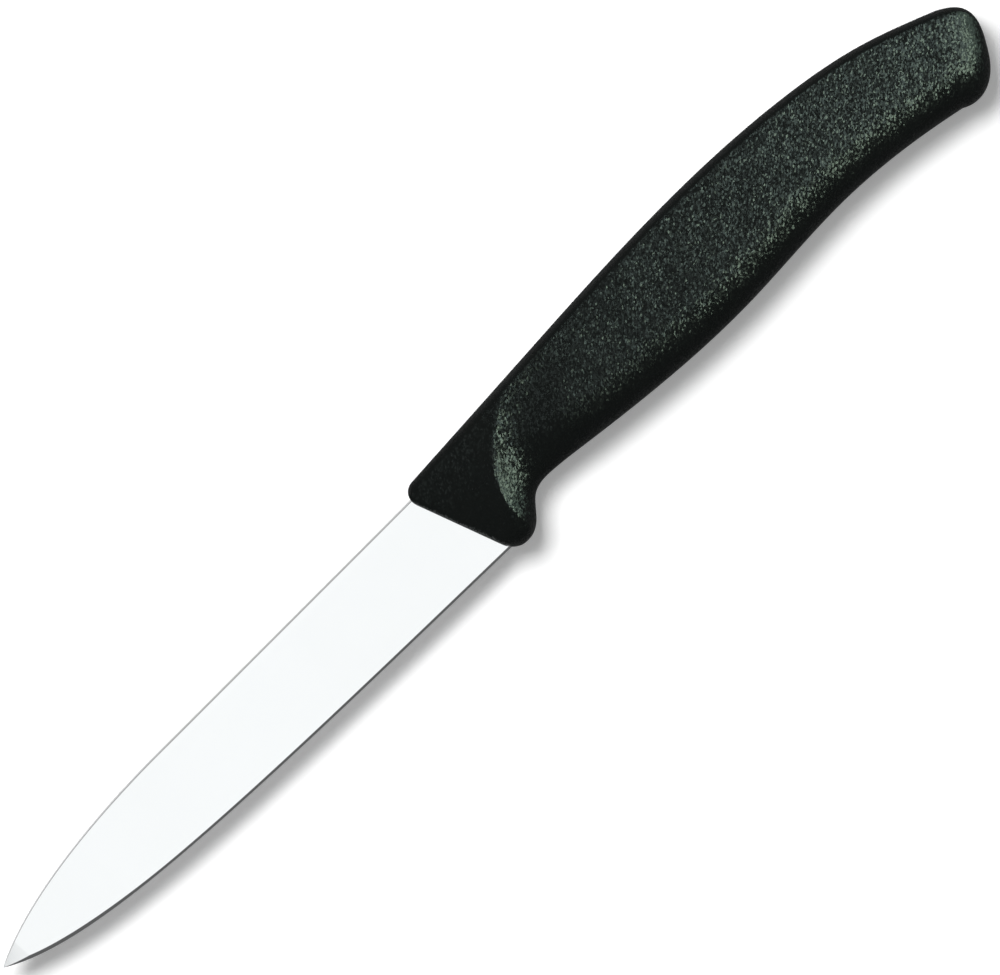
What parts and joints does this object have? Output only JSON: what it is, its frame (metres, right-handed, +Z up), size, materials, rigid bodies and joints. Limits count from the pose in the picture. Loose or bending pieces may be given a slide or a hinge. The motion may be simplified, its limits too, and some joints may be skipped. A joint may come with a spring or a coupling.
{
  "type": "paring knife",
  "caption": "Paring knife with a straight-backed, pointed steel blade and a grained black plastic handle with a finger guard and a hooked butt, lying on its side.",
  "frame": {"origin": "under the middle of the knife's box, on the surface that it lies on", "axes": "+X from the tip to the butt, +Y from the cutting edge to the spine, +Z up through the knife's side"},
  "size_m": [0.2144, 0.0234, 0.0125],
  "materials": {
    "blade_steel": "fine ground stainless steel, polished",
    "handle_plastic": "black polypropylene with a fine moulded grain"
  },
  "bodies": {
    "root": {"blade": "blade_steel", "handle": "handle_plastic"}
  },
  "joints": []
}
